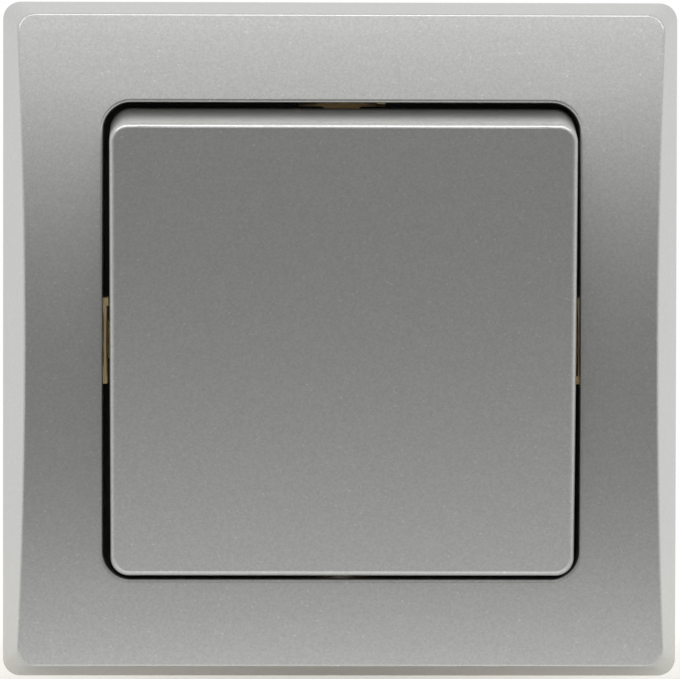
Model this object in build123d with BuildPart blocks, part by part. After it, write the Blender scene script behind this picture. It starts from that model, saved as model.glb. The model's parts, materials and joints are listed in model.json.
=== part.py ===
from build123d import *
import os
from math import asin, cos, radians, sin, sqrt, tan

# Flush-mounted pushbutton switch: a square cover frame round a sprung rocker plate,
# on an insert that is screwed to a wall box by its support ring.
# The wall is the XZ plane. The front looks along -Y, +X is right and +Z is up.
# A height is measured from the wall towards the front, so what is sunk in the wall is negative.
# An offset is measured from the rocker's pivot towards its face, along the tilted rocker.

# Sizes of the rocker plate
plate_width = 54.75            # at its foot, left to right
plate_length = 55.4            # at its foot, top to bottom
plate_depth = 8.7              # foot to the edge of the face
plate_side_lean = 0.2          # how far the left and right walls lean in
plate_end_lean = 1.17          # how far the top and bottom walls lean in
plate_crown = 0.97             # bulge of the face, top to bottom
plate_foot_corner = 2.5
plate_face_corner = 2.1
plate_inner_corner = 0.6
plate_edge_radius = 0.65
plate_wall = 1.6
plate_rib = 1.2
rocker_tilt = 6.0              # degrees; the top stands proud at rest
foot_clearance = 1.2           # foot to support ring at the end of travel

# Sizes of the cover frame
opening_side_gap = 0.6        # foot of the plate to the opening, left and right
opening_end_gap = 0.3          # foot of the plate to the opening, top and bottom
opening_corner_radius = 3.3
opening_edge_radius = 0.35
frame_height = 11.5            # crown of the face above the wall
frame_face_radius = 185.0      # the face is curved from top to bottom
frame_side_draft = 15.2        # lean of the left and right walls, degrees
frame_end_draft = 13.4         # lean of the top and bottom walls, degrees
frame_corner_radius = 2.2
frame_edge_radius = 0.35
frame_wall = 2.2
frame_rib = 1.0
frame_margin = 4.25            # support ring to the frame's outline
frame_play = 0.15              # sideways play, by which the frame has settled to the left
collar_wall = 1.7              # wall round the opening, behind the face
collar_foot = 3.6              # height of that wall's foot

# Sizes of the support ring
ring_sheet = 0.8
ring_corner_radius = 8.0
ring_border = 4.5              # beyond the screw holes
box_spacing = 60.0             # between opposite screws of the wall box
box_hole_radius = 1.5
tab_width = 10.1
tab_height = 8.1               # of the side tabs above the ring
tab_drop = 1.2                 # how much lower the upper tab is
tab_lean = 0.4                 # how far the tops of the side tabs lean in
side_tab_gap = 0.525           # plate to the root of a side tab
end_tab_gap = 0.2              # plate to the upper tab
tab_neck = 0.36                # sheet pressed thin beside the full block
tab_waist = 0.22               # sheet pressed thin along the middle of a tab
tab_end = 0.95                 # full thickness at one end of a tab
tab_paddle = 0.55              # thickness at its other end
screw_arch = 3.2               # room under a tab for a screw head
lug_width = 6.0
lug_length = 6.0               # behind the ring
lug_level = 11.0               # distance of the lugs from the middle line
lug_relief = 0.6
lug_window_margin = 1.2
window_height = 2.4
window_width = 3.6

# Sizes of the bearing and the carrier
pivot_height = 3.1
pin_radius = 1.5
pin_clearance = 0.05
bearing_wall = 1.65            # round the bearing bore
cheek_inner = 14.8             # middle line to a bearing cheek
cheek_thickness = 3.0
cheek_clearance = 0.1          # cheek to the carrier's arm
arm_thickness = 2.6
arm_rim = 0.9                  # round the pin
carrier_width = 34.0
carrier_length = 44.0
carrier_thickness = 2.0
carrier_corner = 2.0
carrier_clearance = 0.3        # over the cheeks
carrier_window = 8.0           # openings that save plastic
flange_thickness = 1.3
flange_lip = 2.3               # flange beyond the socket base
flange_corner = 4.0
apron_thickness = 0.5          # thin rim of the flange, behind the gap round the plate
apron_overlap = 1.2            # beyond the opening
window_clearance = 0.6         # carrier arm to the flange's window
stop_reach = 19.0              # stop pads from the pivot
stop_length = 2.0
stop_width = 4.0
stop_level = 12.0              # stop pads from the middle line
stop_clearance = 0.12
hook_level = 14.0
hook_width = 5.0
hook_thickness = 1.2
hook_barb = 0.8
hook_clearance = 0.15

# Sizes of the return spring
spring_inset = 9.0             # spring to the carrier's end
spring_diameter = 5.0
spring_wire = 0.55
spring_turns = 3.5
spring_seat = 0.05
stud_height = 1.0
stud_clearance = 0.5

# Sizes of the switching mechanism
finger_reach = 11.0            # rocker pivot to the fork
finger_width = 6.0
finger_thickness = 3.2
fork_wall = 1.2
fork_clearance = 0.25
fork_overlap = 0.3
fork_depth = 1.2
lever_reach = 9.0              # lever pin to the lever's tip
lever_width = 5.0
lever_thickness = 1.0
lever_pin_radius = 1.0
eye_wall = 0.9
running_gap = 0.03             # lever pin in its holes
lever_side_gap = 0.4           # lever to the ears of its bracket
ear_wall = 1.0
contact_reach = 6.0            # lever pin to the contact
contact_radius = 1.4
contact_head = 0.7
contact_dome = 3.0
contact_shank = 0.7
contact_tail = 0.4
contact_tail_radius = 1.1
contact_closed_gap = 0.05
rivet_gap = 0.02
rail_sheet = 0.8
bracket_gap = 0.3              # lever eye to its bracket
bracket_height = 6.0
strip_depth = 3.6              # of the strip that carries the fixed contact
strip_end = 0.8                # strip beyond the fixed contact
tongue_end = 1.0               # rail beyond the clamps
tongue_length = 10.0

# Sizes of the terminals and the socket
chamber_width = 14.0           # contact chamber, between the partitions
chamber_height = 24.0
partition = 1.2
rail_gap = 3.0                 # partition to rail
clamp_space = 7.2              # rail to base wall
entry_radius = 1.35
entry_level = 9.0              # wire entries from the middle line
clamp_sheet = 0.4
clamp_width = 5.0
clamp_bend = 1.2
clamp_leg = 8.3
clamp_rise = 6.3               # tip of the leaf above its bend
leaf_gap = 0.7                 # tip of the leaf to the rail
terminal_end = 6.0             # chamber beyond the clamps
base_wall = 1.5
base_corner_radius = 3.0
roof_height = -8.2             # underside of the terminal chambers' roof
roof_thickness = 1.5
cover_thickness = 1.8
seat_gap = 0.1
lip_height = 1.2
lip_thickness = 1.0
release_thickness = 2.5
release_width = 4.4
release_shoulder = 1.2
release_shoulder_length = 2.0
release_foot_width = 15.2
release_foot_thickness = 1.5
release_proud = 1.6
release_gap = 0.3              # release to rail
release_clearance = 0.2
skirt_wall = 1.2
skirt_depth = 3.0
skirt_gap = 0.15
snap_width = 8.0
snap_height = 1.2
snap_proud = 0.8
boss_proud = 0.7
screw_radius = 1.1
screw_head_radius = 2.2
screw_head_height = 1.3
screw_grip = 8.0
screw_gap = 0.05
screw_edge_radius = 0.5
screw_slot_width = 0.6
screw_slot_depth = 0.7

# Values that follow from the sizes above
tilt = radians(rocker_tilt)
flange_front = ring_sheet + flange_thickness
foot_offset = (ring_sheet + foot_clearance - pivot_height + plate_length / 2 * sin(tilt)) / cos(tilt)
face_offset = foot_offset + plate_depth
opening_width = plate_width + 2 * opening_side_gap
opening_length = plate_length + 2 * opening_end_gap
ring_side = box_spacing + 2 * (box_hole_radius + ring_border)
frame_side = ring_side + 2 * frame_margin
side_tab_root = plate_width / 2 + side_tab_gap
end_tab_root = plate_length / 2 + end_tab_gap
side_tab_top = ring_sheet + tab_height
end_tab_top = side_tab_top - tab_drop

bore_radius = pin_radius + pin_clearance
cheek_radius = bore_radius + bearing_wall
arm_outer = cheek_inner - cheek_clearance
arm_radius = pin_radius + arm_rim
carrier_back = cheek_radius + carrier_clearance
carrier_front = carrier_back + carrier_thickness
stop_offset = (flange_front + stop_clearance - pivot_height + stop_reach * sin(tilt)) / cos(tilt)
hook_inner = carrier_width / 2 + hook_clearance
hook_low = carrier_back - hook_clearance - hook_barb
spring_level = carrier_length / 2 - spring_inset
stud_radius = spring_diameter / 2 - spring_wire - stud_clearance
spring_top = (
    pivot_height + carrier_back / cos(tilt)
    + (spring_level - spring_diameter / 2) * tan(tilt) - spring_seat
)

lever_tilt = asin(finger_reach * sin(tilt) / lever_reach)
lever_pivot = pivot_height - finger_reach - lever_reach
lever_tip_radius = lever_thickness / 2
eye_bore = lever_pin_radius + running_gap
eye_radius = eye_bore + eye_wall
ear_inner = lever_width / 2 + lever_side_gap
ear_outer = ear_inner + rail_sheet
ear_radius = eye_bore + ear_wall
bracket_front = lever_pivot - eye_radius - bracket_gap
base_rear = bracket_front - rail_sheet - seat_gap
cover_rear = base_rear - cover_thickness

# Where the lever's dome touches when the button is held down, as depth and level
dome_centre = lever_thickness / 2 + contact_head - contact_dome
touch_depth = -lever_pivot - contact_reach * cos(lever_tilt) + dome_centre * sin(lever_tilt)
touch_level = -contact_reach * sin(lever_tilt) - dome_centre * cos(lever_tilt) - contact_dome
fixed_top = touch_level - contact_closed_gap
strip_top = fixed_top - contact_head

rail_inner = chamber_width / 2 + partition + rail_gap
rail_outer = rail_inner + rail_sheet
base_inner_x = rail_outer + clamp_space
base_inner_z = entry_level + clamp_width / 2 + terminal_end
base_width = 2 * (base_inner_x + base_wall)
base_length = 2 * (base_inner_z + base_wall)
base_inner_corner = base_corner_radius - base_wall
cutout_x = base_width / 2 + skirt_gap
cutout_z = base_length / 2 + skirt_gap
entry_x = rail_outer + entry_radius
pocket_floor = roof_height + roof_thickness
rail_front = roof_height - seat_gap
tongue_height = 2 * (entry_level + clamp_width / 2 + tongue_end)
partition_middle = (chamber_width + partition) / 2
boss_height = -lug_length + lug_window_margin + window_height / 2
screw_level = (chamber_height / 2 + base_length / 2) / 2
snap_low = ring_sheet - skirt_depth

clamp_leg_x = base_inner_x - seat_gap - clamp_sheet / 2
leaf_tip_x = rail_outer + leaf_gap
clamp_bend_depth = -rail_front + clamp_leg
leaf_tip_depth = clamp_bend_depth - clamp_rise
release_inner = rail_outer + release_gap
release_outer = release_inner + release_thickness
leaf_slope = clamp_rise / (clamp_leg_x - leaf_tip_x)
leaf_depth = leaf_tip_depth + (release_outer - leaf_tip_x) * leaf_slope
release_depth = leaf_depth + clamp_sheet / 2 * sqrt(1 + leaf_slope**2) + release_clearance


def front(height):
    """Plane parallel to the wall at a height, looking forward."""
    return Plane.XZ.offset(height)


def rocker_plane(offset):
    """Plane across the tilted rocker, at an offset in front of its pivot."""
    pivot = (0, -pivot_height, 0)
    return Plane(pivot, x_dir=(1, 0, 0), z_dir=(0, -cos(tilt), -sin(tilt))).offset(offset)


def rocker_side(x):
    """Plane along the tilted rocker: its own x runs to the face and its own y runs up."""
    pivot = (x, -pivot_height, 0)
    return Plane(pivot, x_dir=(0, -cos(tilt), -sin(tilt)), z_dir=(-1, 0, 0))


def lever_side(x):
    """Plane beside the contact lever at rest: its own x runs from the pin to the tip."""
    return Plane((x, -lever_pivot, 0), x_dir=(0, -cos(lever_tilt), sin(lever_tilt)), z_dir=(-1, 0, 0))


def foremost_face(part):
    """The face that lies furthest to the front."""
    return part.faces().sort_by(Axis.Y)[0]


def frame_block(inset):
    """Drafted form of the cover frame, drawn in by a wall."""
    half = frame_side / 2
    crown = frame_height - inset
    radius = frame_face_radius - inset
    upright = Plane((0, 0, 0), x_dir=(0, 0, 1), z_dir=(-1, 0, 0))
    profiles = ((Plane.XY, frame_side_draft, Mode.ADD), (upright, frame_end_draft, Mode.INTERSECT))
    with BuildPart() as block:
        for plane, draft, mode in profiles:
            foot = half - inset / cos(radians(draft))
            top = foot - crown * tan(radians(draft))
            with BuildSketch(plane):
                Polygon((-foot, 0), (foot, 0), (top, -crown), (-top, -crown), align=None)
            extrude(amount=half, both=True, mode=mode)
        with BuildSketch(upright):
            with Locations((0, radius - crown)):
                Circle(radius)
        extrude(amount=half, both=True, mode=Mode.INTERSECT)
        corners = block.edges().filter_by(lambda e: min(abs(e.center().X), abs(e.center().Z)) > 0.8 * half)
        fillet(corners, max(frame_corner_radius - inset, frame_edge_radius))
    return block.part


def plate_block(inset):
    """Crowned form of the rocker plate, drawn in by a wall."""
    rise = plate_depth + plate_crown
    lean_x = plate_side_lean * rise / plate_depth
    lean_z = plate_end_lean * rise / plate_depth
    face_half = plate_length / 2 - plate_end_lean
    radius = (face_half**2 + plate_crown**2) / (2 * plate_crown)
    width = plate_width - 2 * inset
    length = plate_length - 2 * inset
    with BuildPart() as block:
        with BuildSketch(rocker_plane(foot_offset)):
            RectangleRounded(width, length, max(plate_foot_corner - inset, plate_inner_corner))
        with BuildSketch(rocker_plane(foot_offset + rise)):
            face_corner = max(plate_face_corner - inset, plate_inner_corner)
            RectangleRounded(width - 2 * lean_x, length - 2 * lean_z, face_corner)
        loft(ruled=True)
        with BuildSketch(rocker_side(0)):
            with Locations((face_offset + plate_crown - radius, 0)):
                Circle(radius - inset)
        extrude(amount=plate_width, both=True, mode=Mode.INTERSECT)
    return block.part


def ring_tab(root, lean, top):
    """Tab that the cover frame slides over, on the right: full sheet at its lower end, then pressed thin."""
    half = tab_width / 2
    flat = half - tab_end
    neck = (ring_sheet - tab_neck) / 2
    dent = (ring_sheet - tab_waist) / 2
    taper = (ring_sheet - tab_paddle) / 2
    outer = root + ring_sheet
    with BuildPart() as tab:
        with BuildSketch(front(0)):
            with BuildLine():
                Polyline(
                    (root + neck, -flat), (root, -flat), (root, -half),
                    (outer, -half), (outer, -flat), (outer - neck, -flat),
                )
                ThreePointArc((outer - neck, -flat), (outer - dent, 0), (outer - taper, half))
                Line((outer - taper, half), (root + taper, half))
                ThreePointArc((root + taper, half), (root + dent, 0), (root + neck, -flat))
            make_face()
        rise = Vector(-lean, -top, 0)
        extrude(amount=rise.length, dir=rise.normalized())
        with BuildSketch(Plane.YZ.offset(root - lean)):
            with Locations((-ring_sheet, 0)):
                Circle(screw_arch)
        extrude(amount=ring_sheet + 2 * lean, mode=Mode.SUBTRACT)
    return tab.part


def contact_rivet(plane, grip):
    """Rivet whose domed head lies along the plane's own y, beyond a sheet centred on its origin."""
    crown = grip / 2 + contact_head
    centre = crown - contact_dome
    middle = contact_radius / 2
    rim = centre + sqrt(contact_dome**2 - contact_radius**2)
    tail = -grip / 2 - contact_tail
    with BuildPart() as rivet:
        with BuildSketch(plane):
            with BuildLine():
                Polyline(
                    (0, crown), (0, tail), (contact_tail_radius, tail),
                    (contact_tail_radius, -grip / 2), (contact_shank, -grip / 2), (contact_shank, grip / 2),
                    (contact_radius, grip / 2), (contact_radius, rim),
                )
                dome_middle = (middle, centre + sqrt(contact_dome**2 - middle**2))
                ThreePointArc((contact_radius, rim), dome_middle, (0, crown))
            make_face()
        revolve(axis=Axis(plane.origin, plane.y_dir))
    return rivet.part


def clamp_spring(side, level):
    """Bent leaf that grips one wire against its rail."""
    with BuildPart() as clamp:
        with BuildSketch(Plane.XY.offset(level)):
            with BuildLine() as path:
                FilletPolyline(
                    (side * clamp_leg_x, -rail_front),
                    (side * clamp_leg_x, clamp_bend_depth),
                    (side * leaf_tip_x, leaf_tip_depth),
                    radius=clamp_bend,
                )
            trace(path.line, clamp_sheet)
        extrude(amount=clamp_width / 2, both=True)
    return clamp.part


def release_lever(side):
    """Slider that is pushed in from behind to lift two leaves off their wires."""
    middle = side * (release_inner + release_outer) / 2
    shoulder_height = base_rear + seat_gap
    with BuildPart() as release:
        with BuildSketch(front(cover_rear - release_proud)):
            with Locations((middle, 0)):
                Rectangle(release_thickness, release_width)
        extrude(amount=-release_depth - cover_rear + release_proud)
        fillet(release.faces().sort_by(Axis.Y)[-1].edges(), release_clearance)
        with BuildSketch(front(shoulder_height)):
            with Locations((middle, 0)):
                Rectangle(release_thickness, release_width + 2 * release_shoulder)
        extrude(amount=release_shoulder_length)
        with BuildSketch(front(-release_depth)):
            with Locations((middle, 0)):
                Rectangle(release_thickness, release_foot_width)
        extrude(amount=-release_foot_thickness)
    return release.part


# Cover frame: a drafted shell, hollow behind, with a collar round its opening
frame_outer = frame_block(0)
frame_inner = frame_block(frame_wall)

with BuildPart() as frame_hollow:
    add(frame_inner)
    with BuildSketch(front(collar_foot)):
        collar_width = opening_width + 2 * collar_wall
        collar_length = opening_length + 2 * collar_wall
        RectangleRounded(collar_width, collar_length, opening_corner_radius + collar_wall)
        with Locations((-opening_width / 4, 0), (opening_width / 4, 0)):
            Rectangle(frame_rib, frame_side)
        with Locations((0, -opening_length / 4), (0, opening_length / 4)):
            Rectangle(frame_side, frame_rib)
    extrude(amount=frame_height, mode=Mode.SUBTRACT)

with BuildPart() as cover_frame:
    add(frame_outer)
    fillet(foremost_face(cover_frame).edges(), frame_edge_radius)
    with BuildSketch(front(0)):
        RectangleRounded(opening_width, opening_length, opening_corner_radius)
    extrude(amount=frame_height, mode=Mode.SUBTRACT)
    fillet(foremost_face(cover_frame).inner_wires()[0].edges(), opening_edge_radius)
    add(frame_hollow.part, mode=Mode.SUBTRACT)
    # Notches that the support ring's tabs slide into
    notch_gap = seat_gap + frame_play
    notch_width = tab_width + 2 * notch_gap
    with BuildSketch(front(collar_foot)):
        Rectangle(2 * (side_tab_root + ring_sheet + notch_gap), notch_width)
    extrude(amount=side_tab_top + seat_gap - collar_foot, mode=Mode.SUBTRACT)
    with BuildSketch(front(collar_foot)):
        notch_end = end_tab_root + ring_sheet + notch_gap
        with Locations((0, notch_end / 2)):
            Rectangle(notch_width, notch_end)
    extrude(amount=end_tab_top + seat_gap - collar_foot, mode=Mode.SUBTRACT)

# Rocker plate: a crowned cap with ribs that rest on the carrier and hooks that grip it
plate_outer = plate_block(0)
plate_inner = plate_block(plate_wall)

with BuildPart() as plate_hollow:
    add(plate_inner)
    with BuildSketch(rocker_plane(carrier_front)):
        with Locations((-carrier_width / 4, 0), (carrier_width / 4, 0)):
            Rectangle(plate_rib, carrier_length - 2 * carrier_corner)
        with Locations((0, -carrier_length / 3), (0, carrier_length / 3)):
            Rectangle(carrier_width - 2 * carrier_corner, plate_rib)
    extrude(amount=plate_depth, mode=Mode.SUBTRACT)
    with BuildSketch(rocker_plane(hook_low)):
        with GridLocations(2 * hook_inner + hook_thickness, 2 * hook_level, 2, 2):
            Rectangle(hook_thickness, hook_width)
    extrude(amount=carrier_front + plate_depth, mode=Mode.SUBTRACT)

with BuildPart() as rocker_plate:
    add(plate_outer)
    fillet(foremost_face(rocker_plate).edges(), plate_edge_radius)
    add(plate_hollow.part, mode=Mode.SUBTRACT)
    # Barbs that catch under the carrier
    with BuildSketch(rocker_plane(hook_low)):
        with GridLocations(2 * hook_inner + hook_thickness - hook_barb, 2 * hook_level, 2, 2):
            Rectangle(hook_thickness + hook_barb, hook_width)
    extrude(amount=hook_barb)

# Support ring: stamped and bent steel sheet
side_tab = ring_tab(side_tab_root, tab_lean, side_tab_top)
end_tab = ring_tab(end_tab_root, 0, end_tab_top)

with BuildPart() as ring_lugs:
    with BuildSketch(Plane.YZ.offset(cutout_x)):
        lug_middle = (lug_length - ring_sheet) / 2
        with Locations((lug_middle, -lug_level), (lug_middle, lug_level)):
            Rectangle(lug_length + ring_sheet, lug_width)
        with Locations((-boss_height, -lug_level), (-boss_height, lug_level)):
            Rectangle(window_height, window_width, mode=Mode.SUBTRACT)
    extrude(amount=ring_sheet)
    mirror(about=Plane.YZ)

with BuildPart() as support_ring:
    with BuildSketch(front(0)):
        RectangleRounded(ring_side, ring_side, ring_corner_radius)
        RectangleRounded(2 * cutout_x, 2 * cutout_z, base_corner_radius, mode=Mode.SUBTRACT)
        with PolarLocations(box_spacing / 2, 4):
            Circle(box_hole_radius, mode=Mode.SUBTRACT)
        # Gaps in the ring's edge that the tabs were bent up out of
        gap_width = tab_width / 2 + seat_gap - screw_arch
        gap_level = screw_arch + gap_width / 2
        side_gap = ring_side / 2 - side_tab_root - ring_sheet
        end_gap = ring_side / 2 - end_tab_root - ring_sheet
        with GridLocations(ring_side - side_gap, 2 * gap_level, 2, 2):
            Rectangle(side_gap, gap_width, mode=Mode.SUBTRACT)
        gap_middle = (ring_side - end_gap) / 2
        with Locations((-gap_level, gap_middle), (gap_level, gap_middle)):
            Rectangle(gap_width, end_gap, mode=Mode.SUBTRACT)
        # Slits beside the lugs
        for edge in (lug_level - (lug_width + lug_relief) / 2, lug_level + (lug_width + lug_relief) / 2):
            with Locations((0, -edge), (0, edge)):
                Rectangle(2 * (cutout_x + 2 * ring_sheet), lug_relief, mode=Mode.SUBTRACT)
    extrude(amount=ring_sheet)
    add(ring_lugs.part)
    add(side_tab)
    add(side_tab, rotation=(0, 180, 0))
    add(end_tab, rotation=(0, -90, 0))

# Bearing frame: flange on the ring, cheeks for the rocker's pins and a skirt that snaps into the base
with BuildPart() as bearing_cheeks:
    with BuildSketch(Plane.YZ.offset(cheek_inner)):
        with Locations((-pivot_height, 0)):
            Circle(cheek_radius)
        with Locations((-(pivot_height + ring_sheet) / 2, 0)):
            Rectangle(pivot_height - ring_sheet, 2 * cheek_radius)
    extrude(amount=cheek_thickness)
    with BuildSketch(front(pivot_height - cheek_radius)):
        Rectangle(2 * (cheek_inner + cheek_thickness), 2 * cheek_radius)
    extrude(amount=ring_sheet - pivot_height + cheek_radius, mode=Mode.SUBTRACT)
    mirror(about=Plane.YZ)

with BuildPart() as bearing_frame:
    with BuildSketch(front(ring_sheet)):
        RectangleRounded(base_width + 2 * flange_lip, base_length + 2 * flange_lip, flange_corner)
    extrude(amount=flange_thickness)
    with BuildSketch(front(ring_sheet)):
        apron_width = opening_width + 2 * apron_overlap
        apron_length = opening_length + 2 * apron_overlap
        RectangleRounded(apron_width, apron_length, opening_corner_radius)
        # Room for the heads of the box screws and for the tabs
        with PolarLocations(box_spacing / 2, 4):
            Circle(screw_arch, mode=Mode.SUBTRACT)
        cut_width = tab_width + 2 * seat_gap
        side_cut = apron_width / 2 - side_tab_root + seat_gap
        end_cut = apron_length / 2 - end_tab_root + seat_gap
        cut_middle = (apron_width - side_cut) / 2
        with Locations((-cut_middle, 0), (cut_middle, 0)):
            Rectangle(side_cut, cut_width, mode=Mode.SUBTRACT)
        with Locations((0, (apron_length - end_cut) / 2)):
            Rectangle(cut_width, end_cut, mode=Mode.SUBTRACT)
    extrude(amount=apron_thickness)
    with BuildSketch(front(snap_low)):
        skirt_x = base_inner_x - skirt_gap
        skirt_z = base_inner_z - skirt_gap
        RectangleRounded(2 * skirt_x, 2 * skirt_z, base_inner_corner)
        Rectangle(2 * (skirt_x - skirt_wall), 2 * (skirt_z - skirt_wall), mode=Mode.SUBTRACT)
    extrude(amount=skirt_depth)
    with BuildSketch(front(snap_low)):
        with Locations((0, -skirt_z), (0, skirt_z)):
            Rectangle(snap_width, 2 * snap_proud)
        Rectangle(2 * skirt_x, 2 * (skirt_z - skirt_wall), mode=Mode.SUBTRACT)
    extrude(amount=snap_height)
    with BuildSketch(front(ring_sheet)):
        Rectangle(2 * cheek_inner, 2 * (arm_radius + window_clearance))
    extrude(amount=flange_thickness, mode=Mode.SUBTRACT)
    add(bearing_cheeks.part)
    with BuildSketch(Plane.YZ):
        with Locations((-pivot_height, 0)):
            Circle(bore_radius)
    extrude(amount=cheek_inner + cheek_thickness, both=True, mode=Mode.SUBTRACT)
    with BuildSketch(front(flange_front)):
        with Locations((0, spring_level)):
            Circle(stud_radius)
    extrude(amount=stud_height)

# Rocker carrier: plate that tilts on two pins, with stop pads and a finger down to the contact
with BuildPart() as carrier_arms:
    with BuildSketch(rocker_side(arm_outer)):
        Circle(arm_radius)
        with Locations((carrier_back / 2, 0)):
            Rectangle(carrier_back, 2 * arm_radius)
    extrude(amount=arm_thickness)
    with BuildSketch(rocker_side(arm_outer)):
        Circle(pin_radius)
    extrude(amount=-cheek_thickness)
    mirror(about=Plane.YZ)

with BuildPart() as rocker_carrier:
    with BuildSketch(rocker_plane(carrier_back)):
        RectangleRounded(carrier_width, carrier_length, carrier_corner)
        with GridLocations(carrier_width / 2, carrier_length / 2, 2, 2):
            RectangleRounded(carrier_window, carrier_window, carrier_corner, mode=Mode.SUBTRACT)
    extrude(amount=carrier_thickness)
    add(carrier_arms.part)
    with BuildSketch(rocker_plane(stop_offset)):
        with GridLocations(2 * stop_level, 2 * stop_reach - stop_length, 2, 2):
            Rectangle(stop_width, stop_length)
    extrude(amount=carrier_back - stop_offset)
    with BuildSketch(rocker_plane(carrier_back)):
        with Locations((0, spring_level)):
            Circle(stud_radius)
    extrude(amount=-stud_height)
    with BuildSketch(rocker_side(finger_width / 2)):
        fork_half = lever_tip_radius + fork_clearance
        fork_floor = finger_reach - fork_depth
        fork_tip = finger_reach + fork_overlap
        with Locations(((carrier_back - fork_floor) / 2, 0)):
            Rectangle(carrier_back + fork_floor, finger_thickness)
        with Locations((-(fork_floor - fork_wall + fork_tip) / 2, 0)):
            Rectangle(fork_tip - fork_floor + fork_wall, 2 * (fork_half + fork_wall))
        with Locations((-(fork_floor + fork_tip) / 2, 0)):
            Rectangle(fork_tip - fork_floor, 2 * fork_half, mode=Mode.SUBTRACT)
    extrude(amount=finger_width)

# Return spring: pushes the top of the carrier forward
with BuildPart() as return_spring:
    coil_radius = (spring_diameter - spring_wire) / 2
    coil_start = flange_front + spring_seat + spring_wire / 2
    coil_height = spring_top - spring_wire / 2 - coil_start
    with BuildLine() as coil:
        Helix(
            coil_height / spring_turns, coil_height, coil_radius,
            center=(0, -coil_start, spring_level), direction=(0, -1, 0),
        )
    with BuildSketch(Plane(coil.line @ 0, z_dir=coil.line % 0)):
        Circle(spring_wire / 2)
    sweep(path=coil.line, is_frenet=True)

# Contact lever: rolled eye on its pin and a tip in the carrier's fork
lever_contact = Plane(
    lever_side(0).from_local_coords((contact_reach, 0, 0)),
    x_dir=(-1, 0, 0),
    z_dir=lever_side(0).x_dir,
)

with BuildPart() as contact_lever:
    with BuildSketch(lever_side(lever_width / 2)):
        Circle(eye_radius)
        with Locations((lever_reach / 2, 0)):
            Rectangle(lever_reach, lever_thickness)
        with Locations((lever_reach, 0)):
            Circle(lever_tip_radius)
        Circle(eye_bore, mode=Mode.SUBTRACT)
    extrude(amount=lever_width)
    with BuildSketch(Plane(lever_contact.origin, x_dir=(1, 0, 0), z_dir=lever_contact.y_dir)):
        Circle(contact_shank + rivet_gap)
    extrude(amount=lever_thickness, both=True, mode=Mode.SUBTRACT)

moving_contact = contact_rivet(lever_contact, lever_thickness)

# Fixed contact on the right rail: a strip under the lever, bent from the rail's tongue
strip_centre = strip_top - rail_sheet / 2
strip_contact = Plane((0, touch_depth, strip_centre), x_dir=(1, 0, 0), z_dir=(0, -1, 0))
fixed_contact = contact_rivet(strip_contact, rail_sheet)

with BuildPart() as contact_rail:
    with BuildSketch(front(rail_front)):
        with Locations(((rail_inner + rail_outer) / 2, 0)):
            Rectangle(rail_sheet, tongue_height)
    extrude(amount=-tongue_length)
    strip_start = -contact_radius - strip_end
    with BuildSketch(Plane.XY.offset(strip_centre)):
        with Locations(((strip_start + rail_outer) / 2, touch_depth)):
            Rectangle(rail_outer - strip_start, strip_depth)
    extrude(amount=rail_sheet / 2, both=True)
    with BuildSketch(Plane.XY.offset(strip_centre)):
        with Locations((0, touch_depth)):
            Circle(contact_shank + rivet_gap)
    extrude(amount=rail_sheet, both=True, mode=Mode.SUBTRACT)

# Left rail: a strip along the rear cover with two ears that hold the lever pin
with BuildPart() as lever_ears:
    with BuildSketch(Plane.YZ.offset(ear_inner)):
        with Locations((-lever_pivot, 0)):
            Circle(ear_radius)
        with Locations((-(lever_pivot + bracket_front) / 2, 0)):
            Rectangle(lever_pivot - bracket_front, 2 * ear_radius)
        with Locations((-lever_pivot, 0)):
            Circle(eye_bore, mode=Mode.SUBTRACT)
    extrude(amount=rail_sheet)
    mirror(about=Plane.YZ)

with BuildPart() as lever_rail:
    with BuildSketch(front(bracket_front)):
        with Locations(((ear_outer - rail_outer) / 2, 0)):
            Rectangle(ear_outer + rail_outer, bracket_height)
    extrude(amount=-rail_sheet)
    with BuildSketch(front(rail_front)):
        with Locations((-(rail_inner + rail_outer) / 2, 0)):
            Rectangle(rail_sheet, tongue_height)
    extrude(amount=-tongue_length)
    with BuildSketch(front(rail_front)):
        with Locations((-(rail_inner + rail_outer) / 2, 0)):
            Rectangle(rail_sheet, bracket_height)
    extrude(amount=bracket_front - rail_front)
    add(lever_ears.part)

with BuildPart() as lever_pin:
    with BuildSketch(Plane.YZ):
        with Locations((-lever_pivot, 0)):
            Circle(lever_pin_radius)
    extrude(amount=ear_outer + rail_sheet / 2, both=True)

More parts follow.
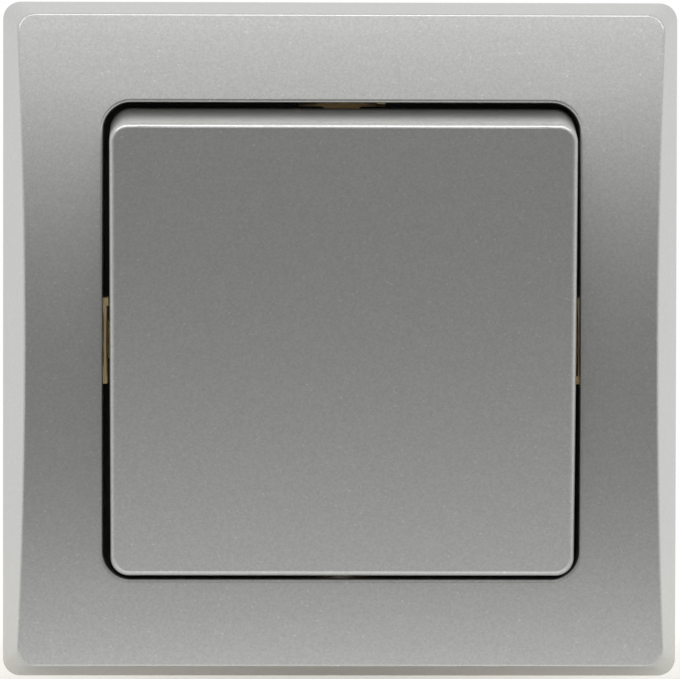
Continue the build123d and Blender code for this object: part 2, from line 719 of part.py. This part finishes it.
# Socket base: walls, partitions and a roof over each terminal chamber
with BuildPart() as socket_base:
    with BuildSketch(front(base_rear)):
        RectangleRounded(base_width, base_length, base_corner_radius)
    extrude(amount=ring_sheet - base_rear)
    with BuildSketch(front(pocket_floor)):
        RectangleRounded(2 * base_inner_x, 2 * base_inner_z, base_inner_corner)
    extrude(amount=ring_sheet - pocket_floor, mode=Mode.SUBTRACT)
    with BuildSketch(front(base_rear)):
        Rectangle(chamber_width, chamber_height)
    extrude(amount=pocket_floor - base_rear, mode=Mode.SUBTRACT)
    with BuildSketch(front(base_rear)):
        terminal_width = base_inner_x - chamber_width / 2 - partition
        with Locations((terminal_width / 2 - base_inner_x, 0), (base_inner_x - terminal_width / 2, 0)):
            Rectangle(terminal_width, 2 * base_inner_z)
    extrude(amount=roof_height - base_rear, mode=Mode.SUBTRACT)
    # Slots where the rails cross the partitions
    with BuildSketch(front(base_rear)):
        with Locations((-partition_middle, 0)):
            Rectangle(partition, bracket_height + 2 * seat_gap)
    extrude(amount=bracket_front + seat_gap - base_rear, mode=Mode.SUBTRACT)
    with BuildSketch(front(base_rear)):
        with Locations((partition_middle, strip_centre)):
            Rectangle(partition, rail_sheet + 2 * seat_gap)
    extrude(amount=strip_depth / 2 + seat_gap - touch_depth - base_rear, mode=Mode.SUBTRACT)
    # Windows for the bearing frame's snaps
    with BuildSketch(front(snap_low - seat_gap)):
        Rectangle(snap_width + 2 * seat_gap, base_length)
    extrude(amount=snap_height + 2 * seat_gap, mode=Mode.SUBTRACT)
    # Bosses that the ring's lugs catch on
    with BuildSketch(front(boss_height - window_height / 2 + seat_gap)):
        with GridLocations(base_width + boss_proud - base_wall, 2 * lug_level, 2, 2):
            Rectangle(boss_proud + base_wall, window_width - 2 * seat_gap)
    extrude(amount=window_height - 2 * seat_gap)
    with BuildSketch(front(base_rear)):
        with Locations((0, -screw_level), (0, screw_level)):
            Circle(screw_radius + screw_gap)
    extrude(amount=screw_grip + seat_gap, mode=Mode.SUBTRACT)

# Rear cover: wire entries, openings for the release levers and two screws
with BuildPart() as rear_cover:
    with BuildSketch(front(cover_rear)):
        RectangleRounded(base_width, base_length, base_corner_radius)
        with GridLocations(2 * entry_x, 2 * entry_level, 2, 2):
            Circle(entry_radius, mode=Mode.SUBTRACT)
        release_middle = (release_inner + release_outer) / 2
        with Locations((-release_middle, 0), (release_middle, 0)):
            release_slot = release_thickness + 2 * release_clearance
            Rectangle(release_slot, release_width + 2 * release_clearance, mode=Mode.SUBTRACT)
        with Locations((0, -screw_level), (0, screw_level)):
            Circle(screw_radius + screw_gap, mode=Mode.SUBTRACT)
    extrude(amount=cover_thickness)
    with BuildSketch(front(base_rear)):
        lip_middle = base_inner_x - skirt_gap - lip_thickness / 2
        with Locations((-lip_middle, 0), (lip_middle, 0)):
            Rectangle(lip_thickness, 2 * entry_level)
    extrude(amount=lip_height)

with BuildPart() as housing_screws:
    with BuildSketch(front(cover_rear)):
        with Locations((0, -screw_level), (0, screw_level)):
            Circle(screw_head_radius)
    extrude(amount=-screw_head_height)
    fillet(housing_screws.faces().sort_by(Axis.Y)[-2:].edges(), screw_edge_radius)
    with BuildSketch(front(cover_rear - screw_head_height)):
        with Locations((0, -screw_level), (0, screw_level)):
            Rectangle(2 * screw_head_radius, screw_slot_width)
    extrude(amount=screw_slot_depth, mode=Mode.SUBTRACT)
    with BuildSketch(front(cover_rear)):
        with Locations((0, -screw_level), (0, screw_level)):
            Circle(screw_radius)
    extrude(amount=cover_thickness + screw_grip)

pieces = {
    "cover_frame": Pos(-frame_play, 0, 0) * cover_frame.part,
    "rocker_plate": rocker_plate.part,
    "support_ring": support_ring.part,
    "bearing_frame": bearing_frame.part,
    "rocker_carrier": rocker_carrier.part,
    "return_spring": return_spring.part,
    "contact_lever": contact_lever.part,
    "moving_contact": moving_contact,
    "fixed_contact": fixed_contact,
    "contact_rail": contact_rail.part,
    "lever_rail": lever_rail.part,
    "lever_pin": lever_pin.part,
    "line_clamp_upper": clamp_spring(-1, entry_level),
    "line_clamp_lower": clamp_spring(-1, -entry_level),
    "load_clamp_upper": clamp_spring(1, entry_level),
    "load_clamp_lower": clamp_spring(1, -entry_level),
    "line_release": release_lever(-1),
    "load_release": release_lever(1),
    "socket_base": socket_base.part,
    "rear_cover": rear_cover.part,
    "housing_screws": housing_screws.part,
}
os.makedirs("parts", exist_ok=True)
for name, piece in pieces.items():
    piece.label = name
    export_step(piece, f"parts/{name}.step")
print(f"frame {frame_side:.2f} mm square, lever ratio {-lever_tilt / tilt:.4f}")
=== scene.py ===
import json
import math

import bmesh
import bpy
from mathutils import Matrix, Vector


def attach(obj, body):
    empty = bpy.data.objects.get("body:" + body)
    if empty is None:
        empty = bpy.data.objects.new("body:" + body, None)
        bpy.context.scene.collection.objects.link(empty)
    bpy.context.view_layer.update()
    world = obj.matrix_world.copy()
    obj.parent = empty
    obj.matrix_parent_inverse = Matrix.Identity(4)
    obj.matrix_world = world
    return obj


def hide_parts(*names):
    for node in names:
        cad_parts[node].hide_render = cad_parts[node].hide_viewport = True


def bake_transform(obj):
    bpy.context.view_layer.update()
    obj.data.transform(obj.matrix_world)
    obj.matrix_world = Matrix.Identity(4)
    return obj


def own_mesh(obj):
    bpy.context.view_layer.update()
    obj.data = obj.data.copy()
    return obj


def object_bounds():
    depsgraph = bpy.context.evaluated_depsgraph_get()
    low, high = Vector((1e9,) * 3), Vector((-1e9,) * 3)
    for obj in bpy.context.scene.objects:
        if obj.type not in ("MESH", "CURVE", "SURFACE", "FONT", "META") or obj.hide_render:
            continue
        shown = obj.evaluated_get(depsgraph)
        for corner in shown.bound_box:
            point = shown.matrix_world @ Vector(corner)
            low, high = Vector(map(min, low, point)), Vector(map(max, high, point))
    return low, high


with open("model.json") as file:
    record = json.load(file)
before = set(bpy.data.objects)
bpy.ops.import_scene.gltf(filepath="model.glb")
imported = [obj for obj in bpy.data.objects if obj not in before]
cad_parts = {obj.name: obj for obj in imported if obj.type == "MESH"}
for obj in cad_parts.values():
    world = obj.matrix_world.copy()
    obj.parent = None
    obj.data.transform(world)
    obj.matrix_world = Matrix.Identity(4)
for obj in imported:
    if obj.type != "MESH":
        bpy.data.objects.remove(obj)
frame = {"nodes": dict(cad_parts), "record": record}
cadNodes = frame["nodes"]
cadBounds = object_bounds()
scene = bpy.context.scene
mm = 0.001
noiseSpan = (0.3, 0.7)          # nearly all noise values lie between these
print("frame loaded:", len(cadNodes), "nodes")


def addNode(tree, kind, **settings):
    node = tree.nodes.new(kind)
    for name, value in settings.items():
        setattr(node, name, value)
    return node


def newMaterial(name, finish):
    material = bpy.data.materials.new(name)
    material.use_nodes = True
    shader = material.node_tree.nodes["Principled BSDF"]
    for socket, value in finish.items():
        shader.inputs[socket].default_value = value
    return material, material.node_tree, shader


def objectCoords(tree):
    return addNode(tree, "ShaderNodeTexCoord").outputs["Object"]


def addNoise(tree, coords, scale, detail):
    noise = addNode(tree, "ShaderNodeTexNoise")
    noise.inputs["Scale"].default_value = scale
    noise.inputs["Detail"].default_value = detail
    tree.links.new(coords, noise.inputs["Vector"])
    return noise.outputs["Fac"]


def addRamp(tree, factor, stops):
    ramp = addNode(tree, "ShaderNodeValToRGB")
    points = ramp.color_ramp.elements
    points[0].position, points[0].color = stops[0]
    points[1].position, points[1].color = stops[-1]
    for position, colour in stops[1:-1]:
        points.new(position).color = colour
    tree.links.new(factor, ramp.inputs["Fac"])
    return ramp.outputs["Color"]


def mapRange(tree, value, low, high, toLow, toHigh):
    node = addNode(tree, "ShaderNodeMapRange")
    limits = {"From Min": low, "From Max": high, "To Min": toLow, "To Max": toHigh}
    for socket, number in limits.items():
        node.inputs[socket].default_value = number
    tree.links.new(value, node.inputs["Value"])
    return node.outputs["Result"]


def mathNode(tree, operation, first, second):
    node = addNode(tree, "ShaderNodeMath", operation=operation)
    for socket, value in zip(node.inputs, (first, second)):
        if isinstance(value, (int, float)):
            socket.default_value = value
        else:
            tree.links.new(value, socket)
    return node.outputs["Value"]


def mixColours(tree, factor, first, second):
    mix = addNode(tree, "ShaderNodeMix", data_type="RGBA")
    colourPair = mix.inputs[6], mix.inputs[7]   # A and B of the colour mix
    for socket, value in zip((mix.inputs["Factor"], *colourPair), (factor, first, second)):
        if isinstance(value, tuple):
            socket.default_value = value
        else:
            tree.links.new(value, socket)
    return mix.outputs[2]                       # the mixed colour


def addBump(tree, shader, height, distance, strength):
    bump = addNode(tree, "ShaderNodeBump")
    bump.inputs["Distance"].default_value = distance
    bump.inputs["Strength"].default_value = strength
    tree.links.new(height, bump.inputs["Height"])
    tree.links.new(bump.outputs["Normal"], shader.inputs["Normal"])


def grey(level):
    return (level, level, level, 1.0)


lacquer = {
    "tone": (0.475, 0.475, 0.460),
    "metal": 0.85,              # the rest scatters as a matt paint does
    "roughness": 0.32,
    "sheenScale": 1600.0,       # roughness clouds in a metre
    "sheenDetail": 3,
    "sheenSpread": 0.012,
    "coat": {"Coat Weight": 0.35, "Coat Roughness": 0.12, "Specular Tint": grey(0.9)},
    "flakeScale": 5200.0,       # cells in a metre
    "flakeContrast": 0.07,
    # painted glint: a few flake cells get a brighter base colour, standing in for sparkle
    "paintedGlintShare": 0.003,        # of the cells, which get a painted glint
    "paintedGlintEdge": 0.002,
    "paintedGlintGain": 1.25,
    "raw": (0.045, 0.043, 0.041),   # moulded body where the spray doesn't reach
    "rawRougher": 0.25,
    "coverFrom": 4.5 * mm,      # depth below the outer skin where the lacquer thins
    "coverTo": 8.0 * mm,
}
frameForm = {
    "foot": (-0.15 * mm, 0.0, 0.0),     # middle of the rear edge
    "tilt": 0.0,                # degrees
    "half": (40.25 * mm, 40.25 * mm),   # width and height at the foot
    "lean": (math.tan(math.radians(15.2)), math.tan(math.radians(13.4))),
    "crown": 11.5 * mm,         # from the foot to the face
    "radius": 185.0 * mm,       # of the face, from top to bottom
}
plateForm = {
    "foot": (0.0, -4.895 * mm, -0.189 * mm),
    "tilt": 6.0,
    "half": (27.375 * mm, 27.7 * mm),
    "lean": (0.023, 0.1345),
    "crown": 9.67 * mm,
    "radius": 356.8 * mm,
}


def depthBelowSkin(tree, coords, form):
    turn = addNode(tree, "ShaderNodeMapping", vector_type="TEXTURE")
    turn.inputs["Location"].default_value = form["foot"]
    turn.inputs["Rotation"].default_value = (math.radians(form["tilt"]), 0, 0)
    tree.links.new(coords, turn.inputs["Vector"])
    split = addNode(tree, "ShaderNodeSeparateXYZ")
    tree.links.new(turn.outputs["Vector"], split.inputs["Vector"])
    x, y, z = (split.outputs[axis] for axis in "XYZ")
    depths = []
    for along, half, lean in zip((x, z), form["half"], form["lean"]):
        edge = mathNode(tree, "MULTIPLY", y, lean)
        edge = mathNode(tree, "ADD", edge, half)
        depths.append(mathNode(tree, "SUBTRACT", edge, mathNode(tree, "ABSOLUTE", along, 0.0)))
    drop = mathNode(tree, "MULTIPLY", mathNode(tree, "MULTIPLY", z, z), 0.5 / form["radius"])
    face = mathNode(tree, "SUBTRACT", mathNode(tree, "ADD", y, form["crown"]), drop)
    return mathNode(tree, "MINIMUM", mathNode(tree, "MINIMUM", depths[0], depths[1]), face)


def silverLacquer(name, form):
    material, tree, shader = newMaterial(name, lacquer["coat"])
    coords = objectCoords(tree)
    flakes = addNode(tree, "ShaderNodeTexVoronoi")
    flakes.inputs["Scale"].default_value = lacquer["flakeScale"]
    tree.links.new(coords, flakes.inputs["Vector"])
    split = addNode(tree, "ShaderNodeSeparateColor")
    tree.links.new(flakes.outputs["Color"], split.inputs["Color"])
    contrast = lacquer["flakeContrast"]
    gains = (1 - contrast, 1 + contrast, lacquer["paintedGlintGain"])
    dull, bright, paintedGlint = ((*(gain * c for c in lacquer["tone"]), 1) for gain in gains)
    # painted glints: the rarest flake cells jump to a brighter base colour, flake sparkle put
    # into the colour
    paintedGlintFrom = 1 - lacquer["paintedGlintShare"]
    silver = addRamp(tree, split.outputs["Red"], [
        (0.0, dull), (paintedGlintFrom - lacquer["paintedGlintEdge"], bright), (paintedGlintFrom, paintedGlint),
    ])
    depth = depthBelowSkin(tree, coords, form)
    bare = mapRange(tree, depth, lacquer["coverFrom"], lacquer["coverTo"], 0.0, 1.0)
    colour = mixColours(tree, bare, silver, (*lacquer["raw"], 1))
    tree.links.new(colour, shader.inputs["Base Color"])
    metal = mapRange(tree, bare, 0.0, 1.0, lacquer["metal"], 0.0)
    tree.links.new(metal, shader.inputs["Metallic"])
    soft = addNoise(tree, coords, lacquer["sheenScale"], lacquer["sheenDetail"])
    rough, spread = lacquer["roughness"], lacquer["sheenSpread"]
    sheen = mapRange(tree, soft, *noiseSpan, rough - spread, rough + spread)
    rougher = mathNode(tree, "MULTIPLY", bare, lacquer["rawRougher"])
    tree.links.new(mathNode(tree, "ADD", sheen, rougher), shader.inputs["Roughness"])
    return material


# scales are clouds or grains in a metre, roughSpread is below and above the mean
zinc = {
    "metal": 0.9,
    "rough": 0.46,
    "cloudScale": 70.0,
    "cloudDetail": 3,
    "grainScale": 1800.0,
    "grainDetail": 2,
    "roughSpread": (0.06, 0.08),
    "bump": (0.004 * mm, 0.5),  # height and strength
    "tints": [                  # the cloudy film of the passivation
        (0.30, (0.91, 0.62, 0.31, 1)), (0.45, (0.96, 0.73, 0.40, 1)),
        (0.56, (0.93, 0.75, 0.42, 1)), (0.70, (0.97, 0.72, 0.43, 1)),
    ],
}
plastic = {
    "metal": 0.0,
    "cloudScale": 120.0,
    "cloudDetail": 3,
    "shades": (0.88, 1.12),
    "grainScale": 2600.0,
    "grainDetail": 2,
    "roughSpread": (0.05, 0.07),
    "bump": (0.012 * mm, 0.6),
}
rolled = {
    "metal": 1.0,
    "cloudScale": 420.0,
    "cloudDetail": 4,
    "shades": (0.8, 1.0),
    "grainScale": 2400.0,
    "grainDetail": 2,
    "roughSpread": (0.06, 0.08),
    "bump": (0.003 * mm, 0.5),
}


def grainedFinish(name, look, tints, rough):
    material, tree, shader = newMaterial(name, {"Metallic": look["metal"]})
    coords = objectCoords(tree)
    cloud = addNoise(tree, coords, look["cloudScale"], look["cloudDetail"])
    tree.links.new(addRamp(tree, cloud, tints), shader.inputs["Base Color"])
    grain = addNoise(tree, coords, look["grainScale"], look["grainDetail"])
    below, above = look["roughSpread"]
    spread = mapRange(tree, grain, *noiseSpan, rough - below, rough + above)
    tree.links.new(spread, shader.inputs["Roughness"])
    addBump(tree, shader, grain, *look["bump"])
    return material


def shadedTints(colour, shades):
    return [(at, (*(shade * c for c in colour), 1)) for at, shade in zip(noiseSpan, shades)]


def mouldedPlastic(name, colour, rough):
    return grainedFinish(name, plastic, shadedTints(colour, plastic["shades"]), rough)


def rolledMetal(name, colour, rough):
    return grainedFinish(name, rolled, shadedTints(colour, rolled["shades"]), rough)


finishes = {
    "frame_lacquer": silverLacquer("frameLacquer", frameForm),
    "plate_lacquer": silverLacquer("plateLacquer", plateForm),
    "yellow_zinc_steel": grainedFinish("yellowZinc", zinc, zinc["tints"], zinc["rough"]),
    "black_plastic": mouldedPlastic("blackPlastic", (0.045, 0.045, 0.045), rough=0.5),
    "carrier_plastic": mouldedPlastic("carrierPlastic", (0.02, 0.02, 0.02), rough=0.5),
    "base_plastic": mouldedPlastic("basePlastic", (0.06, 0.06, 0.062), rough=0.55),
    "release_plastic": mouldedPlastic("releasePlastic", (0.5, 0.5, 0.48), rough=0.45),
    "spring_steel": rolledMetal("springSteel", (0.55, 0.55, 0.53), rough=0.28),
    "screw_steel": rolledMetal("screwSteel", (0.62, 0.62, 0.62), rough=0.3),
    "contact_brass": rolledMetal("contactBrass", (0.80, 0.58, 0.24), rough=0.3),
    "contact_silver": rolledMetal("contactSilver", (0.85, 0.84, 0.8), rough=0.25),
}
slotOf = {part["node"]: part["material_slot"] for part in frame["record"]["subparts"]}
for node, obj in cadNodes.items():
    obj.material_slots[0].material = finishes[slotOf[node]]
print("finishes on", len(cadNodes), "nodes")

springSkin = {
    "weld": 0.001 * mm,
    "crease": 40,               # degrees, sharper edges stay crisp
}


def freeSpring(node, name):
    skin = bmesh.new()
    skin.from_mesh(cadNodes[node].data)
    bmesh.ops.remove_doubles(skin, verts=skin.verts, dist=springSkin["weld"])
    mesh = bpy.data.meshes.new(name)
    skin.to_mesh(mesh)
    skin.free()
    if "custom_normal" in mesh.attributes:      # no longer fits the merged mesh
        mesh.attributes.remove(mesh.attributes["custom_normal"])
    mesh.set_sharp_from_angle(angle=math.radians(springSkin["crease"]))
    mesh.materials.append(finishes[slotOf[node]])
    piece = bpy.data.objects.new(name, mesh)
    scene.collection.objects.link(piece)
    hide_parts(node)
    return piece


coil = freeSpring("return_spring", "returnCoil")
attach(coil, "insert")
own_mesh(coil)
for side, sign in (("line", -1), ("load", 1)):
    for level in ("upper", "lower"):
        leaf = freeSpring(f"{side}_clamp_{level}", f"{side}Leaf{level.title()}")
        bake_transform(leaf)

floorLook = {
    "radius": 150 * mm,
    "segments": 96,
    "ahead": 9 * mm,            # its front edge, from the wall
    "drop": 2 * mm,             # below the object
    "tone": (0.92, 0.905, 0.85, 1),
    "roughness": 0.4,
}


def layFloor():
    low, _ = cadBounds
    mesh = bpy.data.meshes.new("studioFloor")
    disc = bmesh.new()
    bmesh.ops.create_circle(
        disc, cap_ends=True, segments=floorLook["segments"], radius=floorLook["radius"],
    )
    back = floorLook["radius"] - floorLook["ahead"]
    bmesh.ops.translate(disc, verts=disc.verts, vec=(0, back, low[2] - floorLook["drop"]))
    disc.to_mesh(mesh)
    disc.free()
    floor = bpy.data.objects.new("studioFloor", mesh)
    scene.collection.objects.link(floor)
    material, *_ = newMaterial("paleSheet", {
        "Roughness": floorLook["roughness"],
        "Base Color": floorLook["tone"],
    })
    mesh.materials.append(material)


layFloor()
print("floor laid")

studio = {
    "room": [                   # brightness in front, by height of the direction
        (-0.80, 2.10), (-0.62, 1.75), (-0.50, 0.98), (-0.42, 0.54), (-0.34, 0.31), (-0.20, 0.19),
        (0.0, 0.12), (0.14, 0.20), (0.28, 0.52), (0.42, 1.26), (0.70, 1.26),
    ],
    "backdrop": [(-0.50, 0.50), (0.0, 0.80), (0.50, 1.0)],
    "turn": (-0.98, -0.35),     # from the room in front to the backdrop
}


def lightStudio():
    world = bpy.data.worlds.new("studio")
    scene.world = world
    world.use_nodes = True
    tree = world.node_tree
    background = tree.nodes["Background"]
    coords = addNode(tree, "ShaderNodeTexCoord")
    split = addNode(tree, "ShaderNodeSeparateXYZ")
    tree.links.new(coords.outputs["Generated"], split.inputs["Vector"])
    shades = []
    for stops in (studio["room"], studio["backdrop"]):
        low, high = stops[0][0], stops[-1][0]
        height = mapRange(tree, split.outputs["Z"], low, high, 0.0, 1.0)
        levels = [((at - low) / (high - low), grey(level)) for at, level in stops]
        shades.append(addRamp(tree, height, levels))
    room, backdrop = shades
    light = addNode(tree, "ShaderNodeLightPath")
    mirrored = mathNode(
        tree, "MAXIMUM", light.outputs["Is Glossy Ray"], light.outputs["Is Transmission Ray"],
    )
    backdrop = mixColours(tree, mirrored, backdrop, grey(1.0))
    turned = mapRange(tree, split.outputs["Y"], *studio["turn"], 0.0, 1.0)
    shade = mixColours(tree, turned, room, backdrop)
    seen = mixColours(tree, light.outputs["Is Camera Ray"], shade, grey(1.0))
    tree.links.new(seen, background.inputs["Color"])


softboxes = {
    "upperBox": {
        "up": 52,               # degrees
        "across": 0,
        "distance": 0.9,
        "size": (1.6, 0.2),
        "strength": 4.0,
        "colour": (0.97, 0.99, 1.0),
    },
}


def hangSoftbox(name, box):
    lamp = bpy.data.lights.new(name, "AREA")
    lamp.shape = "RECTANGLE"
    lamp.size, lamp.size_y = box["size"]
    lamp.color = box["colour"]
    lamp.energy = box["strength"] * math.pi * lamp.size * lamp.size_y
    up, across = math.radians(box["up"]), math.radians(box["across"])
    away = Vector((
        math.sin(across) * math.cos(up),
        -math.cos(across) * math.cos(up),
        math.sin(up),
    ))
    lampObject = bpy.data.objects.new(name, lamp)
    lampObject.location = away * box["distance"]
    lampObject.rotation_euler = away.to_track_quat("Z", "Y").to_euler()
    lampObject.visible_camera = False
    scene.collection.objects.link(lampObject)


lightStudio()
for name, box in softboxes.items():
    hangSoftbox(name, box)
print("lights hung:", len(softboxes))

shot = {
    "distance": 530 * mm,       # from the wall
    "left": 0.9,                # degrees off the axis
    "above": 1.15,
    "roll": 0.11,
    "lens": 234.7,
    "sensor": 36,
    "near": 10 * mm,
    "target": (-0.15 * mm, 0.0, 0.0),
}


def setCamera():
    camera = bpy.data.cameras.new("camera")
    camera.sensor_width = shot["sensor"]
    camera.lens = shot["lens"]
    camera.clip_start = shot["near"]
    cameraObject = bpy.data.objects.new("camera", camera)
    scene.collection.objects.link(cameraObject)
    distance = shot["distance"]
    place = Vector((
        shot["target"][0] - distance * math.tan(math.radians(shot["left"])),
        -distance,
        distance * math.tan(math.radians(shot["above"])),
    ))
    target = Vector(shot["target"])
    turn = (target - place).to_track_quat("-Z", "Y").to_matrix().to_4x4()
    roll = Matrix.Rotation(math.radians(shot["roll"]), 4, "Z")
    cameraObject.matrix_world = Matrix.Translation(place) @ turn @ roll
    scene.camera = cameraObject


setCamera()
scene.view_settings.view_transform = "Standard"
print("camera set")
